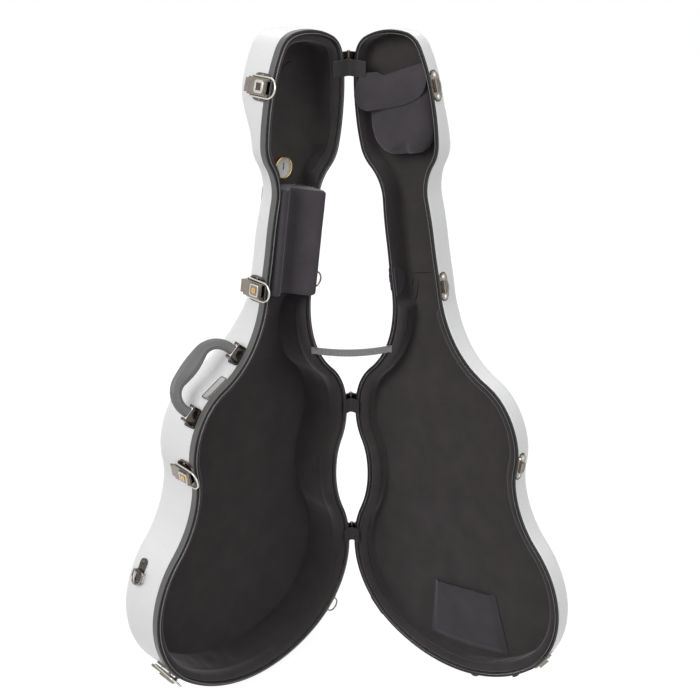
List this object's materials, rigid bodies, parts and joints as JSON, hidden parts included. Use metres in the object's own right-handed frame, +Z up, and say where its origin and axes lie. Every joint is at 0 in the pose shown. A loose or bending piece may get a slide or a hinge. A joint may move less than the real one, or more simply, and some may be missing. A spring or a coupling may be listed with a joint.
{
  "type": "guitar case",
  "caption": "Hard case shaped for a classical guitar, standing open like a book, with a padded dark lining, draw latches, a carrying handle and a neck cradle",
  "frame": {"origin": "on the floor, under the middle of the open case's bounding box", "axes": "+X to the viewer's right, +Y away from the viewer, +Z up; the case stands on its wide end, deep shell to -X, lid to +X"},
  "size_m": [0.7038, 0.358, 1.0699],
  "materials": {
    "shell_silver": "satin silver lacquer over a moulded shell",
    "band_grey": "satin dark grey",
    "gasket_black": "matt black",
    "lip_grey": "satin",
    "velour_black": "short-pile black velour",
    "velour_panel": "flat dark grey velour",
    "webbing": "woven dark webbing",
    "nickel": "polished smoked nickel",
    "brass_key": "polished brass",
    "gauge_gold": "polished gold tone",
    "dial_white": "matt white",
    "needle_black": "matt black",
    "clear_glass": "clear",
    "grip_black": "semi-gloss black",
    "plate_black": "satin black, bare",
    "foot_rubber": "matt black"
  },
  "bodies": {
    "body": {"body_shell": "shell_silver", "body_rim_band": "band_grey", "body_gasket": "gasket_black", "body_tongue": "lip_grey", "body_lining": "velour_black", "neck_cradle": "velour_panel", "gauge_case": "gauge_gold", "gauge_dial": "dial_white", "gauge_glass": "clear_glass", "latch_base_1": "nickel", "latch_base_2": "nickel", "latch_base_3": "nickel", "latch_base_4": "nickel", "handle_bracket_low": "grip_black", "handle_bracket_high": "grip_black", "handle_pins": "nickel", "badge_plate": "plate_black", "body_ring_plates": "nickel", "body_hinge_leaves": "nickel", "hinge_pins": "nickel", "body_feet": "foot_rubber", "hinge_flap_1": "webbing", "hinge_flap_2": "webbing", "hinge_flap_3": "webbing", "stay_strap": "webbing"},
    "lid": {"lid_shell": "shell_silver", "lid_gasket": "gasket_black", "lid_lip": "lip_grey", "lid_lining": "velour_black", "head_pouch": "velour_panel", "document_pocket": "velour_panel", "half_moon_patch": "velour_panel", "catch_plate_1": "nickel", "catch_plate_2": "nickel", "catch_plate_3": "nickel", "catch_plate_4": "nickel", "catch_screws": "nickel", "lid_hinge_leaves": "nickel", "lid_ring_plates": "nickel", "lid_bumper": "foot_rubber", "lid_feet": "foot_rubber"},
    "flap": {"pouch_flap": "velour_panel"},
    "handle": {"handle_grip": "grip_black"},
    "needle": {"gauge_needle": "needle_black"},
    "lever_1": {"latch_lever_1": "nickel"},
    "bail_1": {"latch_bail_1": "nickel"},
    "lever_2": {"latch_lever_2": "nickel"},
    "bail_2": {"latch_bail_2": "nickel"},
    "lever_3": {"latch_lever_3": "nickel"},
    "bail_3": {"latch_bail_3": "nickel"},
    "lever_4": {"latch_lever_4": "nickel"},
    "bail_4": {"latch_bail_4": "nickel"},
    "barrel_2": {"key_barrel_2": "brass_key"},
    "barrel_3": {"key_barrel_3": "brass_key"},
    "ring_1": {"body_ring_1": "nickel"},
    "ring_2": {"body_ring_2": "nickel"},
    "ring_3": {"body_ring_3": "nickel"},
    "lid_ring_1": {"lid_ring_1": "nickel"},
    "lid_ring_2": {"lid_ring_2": "nickel"}
  },
  "joints": [
    {"name": "lid_close", "type": "hinge", "parent": "body", "child": "lid", "pos_m": [0.00897, 0.12169, 0], "axis": [0, 0, 1], "range_deg": [-94.5, 5], "deforming": ["hinge_flap_1", "hinge_flap_2", "hinge_flap_3", "stay_strap"]},
    {"name": "latch_lever_1", "type": "hinge", "parent": "body", "child": "lever_1", "pos_m": [-0.10831, 0.01078, 0.99702], "axis": [0.1876, 0.1876, 0.9641], "range_deg": [0, 95]},
    {"name": "latch_bail_1", "type": "hinge", "parent": "lever_1", "child": "bail_1", "pos_m": [-0.13058, 0.03305, 0.99702], "axis": [0.1876, 0.1876, 0.9641], "range_deg": [-95, 5]},
    {"name": "latch_lever_2", "type": "hinge", "parent": "body", "child": "lever_2", "pos_m": [-0.12537, -0.00628, 0.69531], "axis": [0.1244, 0.1244, 0.9844], "range_deg": [0, 95]},
    {"name": "latch_bail_2", "type": "hinge", "parent": "lever_2", "child": "bail_2", "pos_m": [-0.14764, 0.01599, 0.69531], "axis": [0.1244, 0.1244, 0.9844], "range_deg": [-95, 5]},
    {"name": "latch_lever_3", "type": "hinge", "parent": "body", "child": "lever_3", "pos_m": [-0.23411, -0.11502, 0.43591], "axis": [-0.0997, -0.0997, 0.99], "range_deg": [0, 95]},
    {"name": "latch_bail_3", "type": "hinge", "parent": "lever_3", "child": "bail_3", "pos_m": [-0.25638, -0.09275, 0.43591], "axis": [-0.0997, -0.0997, 0.99], "range_deg": [-95, 5]},
    {"name": "latch_lever_4", "type": "hinge", "parent": "body", "child": "lever_4", "pos_m": [-0.27834, -0.15925, 0.09704], "axis": [-0.398, -0.398, 0.8265], "range_deg": [0, 95]},
    {"name": "latch_bail_4", "type": "hinge", "parent": "lever_4", "child": "bail_4", "pos_m": [-0.30061, -0.13698, 0.09704], "axis": [-0.398, -0.398, 0.8265], "range_deg": [-95, 5]},
    {"name": "key_barrel_2", "type": "hinge", "parent": "lever_2", "child": "barrel_2", "pos_m": [-0.13611, -0.00557, 0.69658], "axis": [-0.6961, -0.6961, 0.1759], "range_deg": [-90, 90]},
    {"name": "key_barrel_3", "type": "hinge", "parent": "lever_3", "child": "barrel_3", "pos_m": [-0.24487, -0.11433, 0.43489], "axis": [-0.7, -0.7, -0.141], "range_deg": [-90, 90]},
    {"name": "handle_grip", "type": "hinge", "parent": "body", "child": "handle", "pos_m": [-0.20176, -0.05651, 0.56876], "axis": [0.5484, 0.5484, 0.6314], "range_deg": [-38, 108]},
    {"name": "body_ring_1", "type": "hinge", "parent": "body", "child": "ring_1", "pos_m": [-0.32332, -0.12291, 0.27357], "axis": [-0.7071, 0.7071, 0], "range_deg": [0, 150]},
    {"name": "body_ring_2", "type": "hinge", "parent": "body", "child": "ring_2", "pos_m": [-0.05209, 0.07336, 0.68453], "axis": [-0.1009, -0.1009, -0.9898], "range_deg": [-80, 80]},
    {"name": "body_ring_3", "type": "hinge", "parent": "body", "child": "ring_3", "pos_m": [-0.0318, 0.09365, 0.05728], "axis": [-0.5009, -0.5009, -0.7058], "range_deg": [-80, 80]},
    {"name": "lid_ring_1", "type": "hinge", "parent": "lid", "child": "lid_ring_1", "pos_m": [0.07362, 0.0783, 0.68453], "axis": [-0.1085, 0.0927, 0.9898], "range_deg": [0, 165]},
    {"name": "lid_ring_2", "type": "hinge", "parent": "lid", "child": "lid_ring_2", "pos_m": [0.05535, 0.09391, 0.05282], "axis": [-0.5593, 0.4777, 0.6775], "range_deg": [0, 165]},
    {"name": "pouch_flap", "type": "hinge", "parent": "lid", "child": "flap", "pos_m": [0.07612, 0.08189, 1.01479], "axis": [0.7502, -0.6407, 0.1633], "range_deg": [-100, 0]},
    {"name": "gauge_needle", "type": "hinge", "parent": "body", "child": "needle", "pos_m": [-0.09021, 0.06466, 0.86729], "axis": [-0.7071, 0.7071, 0], "range_deg": [-140, 140]}
  ],
  "couplings": [
    {"joint": "latch_bail_1", "follows": "latch_lever_1", "ratio": -1},
    {"joint": "latch_bail_2", "follows": "latch_lever_2", "ratio": -1},
    {"joint": "latch_bail_3", "follows": "latch_lever_3", "ratio": -1},
    {"joint": "latch_bail_4", "follows": "latch_lever_4", "ratio": -1}
  ]
}
